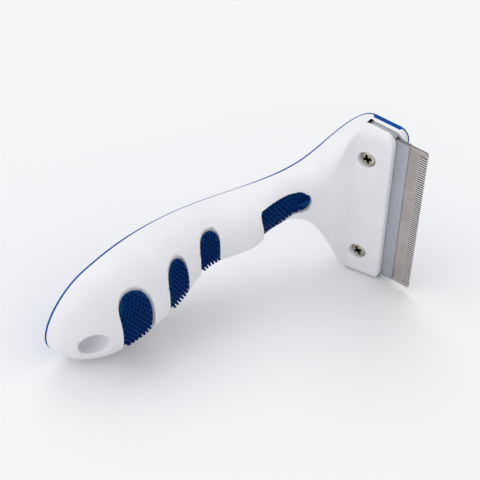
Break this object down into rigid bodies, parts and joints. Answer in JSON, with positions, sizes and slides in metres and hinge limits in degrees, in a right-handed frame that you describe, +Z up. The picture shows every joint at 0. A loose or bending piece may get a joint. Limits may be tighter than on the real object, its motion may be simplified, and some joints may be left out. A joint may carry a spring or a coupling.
{
  "type": "undercoat rake",
  "caption": "L-shaped undercoat rake for pets: fine comb blade in a screwed steel holder, hollow moulded handle with a smooth back cover, rubber finger grips and a hang hole, lying on its side.",
  "frame": {"origin": "middle of the footprint on the floor, under the bounding box of the lying tool", "axes": "+Z up, the teeth point along +X, +Y is the back of the head and the handle runs towards -Y"},
  "size_m": [0.0672, 0.1318, 0.0707],
  "materials": {
    "white_abs": "glossy white moulded shell",
    "blue_abs": "smooth blue moulded cover",
    "blue_rubber": "matt, small round nubs",
    "stainless_steel": "brushed along the teeth",
    "holder_steel": "brushed, slightly darker and bluer",
    "nickel_screw": "worn nickel plating"
  },
  "bodies": {
    "root": {"handle_shell": "white_abs", "back_cover": "blue_abs", "grip_pad_palm": "blue_rubber", "grip_pad_ring_finger": "blue_rubber", "grip_pad_middle_finger": "blue_rubber", "grip_pad_index_finger": "blue_rubber", "blade": "stainless_steel", "blade_holder": "holder_steel", "blade_rivet_1": "stainless_steel", "blade_rivet_2": "stainless_steel", "blade_rivet_3": "stainless_steel", "head_screw_upper": "nickel_screw", "head_screw_lower": "nickel_screw"}
  },
  "joints": []
}
